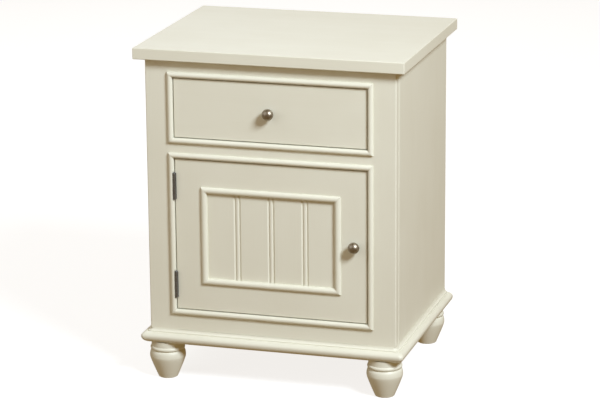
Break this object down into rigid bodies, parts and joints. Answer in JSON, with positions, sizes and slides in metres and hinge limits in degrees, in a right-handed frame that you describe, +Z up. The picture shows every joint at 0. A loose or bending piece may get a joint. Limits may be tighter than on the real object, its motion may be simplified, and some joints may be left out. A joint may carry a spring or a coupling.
{
  "type": "bedside cabinet",
  "caption": "Painted bedside cabinet: a drawer on slides above a hinged beadboard door, half-round beads round both openings, a moulded base and turned feet.",
  "frame": {"origin": "on the floor, below the middle of the bounding box of the closed cabinet", "axes": "+Z up; -Y is the front, with the drawer and the door; +X is the right-hand side seen from the front"},
  "size_m": [0.482, 0.389, 0.6],
  "materials": {
    "cream_paint": "satin cream paint on wood",
    "lacquered_wood": "clear lacquer on pale wood",
    "zinc_steel": "zinc plated",
    "satin_steel": "satin grey steel",
    "dark_pewter": "dark antique pewter, polished by hand wear",
    "catch_plastic": "moulded"
  },
  "bodies": {
    "carcass": {"top_panel": "cream_paint", "side_panel_left": "cream_paint", "side_panel_right": "cream_paint", "back_panel": "cream_paint", "face_stile_left": "cream_paint", "face_stile_right": "cream_paint", "face_rail_top": "cream_paint", "face_rail_middle": "cream_paint", "face_rail_bottom": "cream_paint", "bottom_board": "cream_paint", "base_moulding_front": "cream_paint", "base_moulding_left": "cream_paint", "base_moulding_right": "cream_paint", "foot_front_left": "cream_paint", "foot_front_right": "cream_paint", "foot_back_left": "cream_paint", "foot_back_right": "cream_paint", "drawer_bead_top": "cream_paint", "drawer_bead_bottom": "cream_paint", "drawer_bead_left": "cream_paint", "drawer_bead_right": "cream_paint", "door_bead_top": "cream_paint", "door_bead_bottom": "cream_paint", "door_bead_left": "cream_paint", "door_bead_right": "cream_paint", "dust_panel": "lacquered_wood", "slide_spacer_left": "lacquered_wood", "slide_spacer_right": "lacquered_wood", "slide_outer_left": "zinc_steel", "slide_outer_right": "zinc_steel", "hinge_upper_frame_leaf": "satin_steel", "hinge_lower_frame_leaf": "satin_steel", "hinge_upper_pin": "satin_steel", "hinge_lower_pin": "satin_steel", "catch_magnet": "catch_plastic"},
    "drawer": {"drawer_front": "cream_paint", "drawer_side_left": "lacquered_wood", "drawer_side_right": "lacquered_wood", "drawer_back": "lacquered_wood", "drawer_bottom": "lacquered_wood", "drawer_knob": "dark_pewter", "drawer_knob_screw": "zinc_steel", "slide_inner_left": "zinc_steel", "slide_inner_right": "zinc_steel"},
    "slide_left": {"slide_middle_left": "zinc_steel"},
    "slide_right": {"slide_middle_right": "zinc_steel"},
    "door": {"door_stile_hinge": "cream_paint", "door_stile_latch": "cream_paint", "door_rail_top": "cream_paint", "door_rail_bottom": "cream_paint", "door_panel": "cream_paint", "door_moulding_top": "cream_paint", "door_moulding_bottom": "cream_paint", "door_moulding_left": "cream_paint", "door_moulding_right": "cream_paint", "door_knob": "dark_pewter", "door_knob_screw": "zinc_steel", "hinge_upper_door_leaf": "satin_steel", "hinge_lower_door_leaf": "satin_steel", "catch_strike": "zinc_steel"}
  },
  "joints": [
    {"name": "drawer_slide", "type": "slide", "parent": "carcass", "child": "drawer", "axis": [0, -1, 0], "range_m": [0, 0.28]},
    {"name": "slide_left_travel", "type": "slide", "parent": "carcass", "child": "slide_left", "axis": [0, -1, 0], "range_m": [0, 0.14]},
    {"name": "slide_right_travel", "type": "slide", "parent": "carcass", "child": "slide_right", "axis": [0, -1, 0], "range_m": [0, 0.14]},
    {"name": "door_hinge", "type": "hinge", "parent": "carcass", "child": "door", "pos_m": [-0.17325, -0.1781, 0.269], "axis": [0, 0, -1], "range_deg": [0, 170]}
  ],
  "couplings": [
    {"joint": "slide_left_travel", "follows": "drawer_slide", "ratio": 0.5},
    {"joint": "slide_right_travel", "follows": "drawer_slide", "ratio": 0.5}
  ]
}
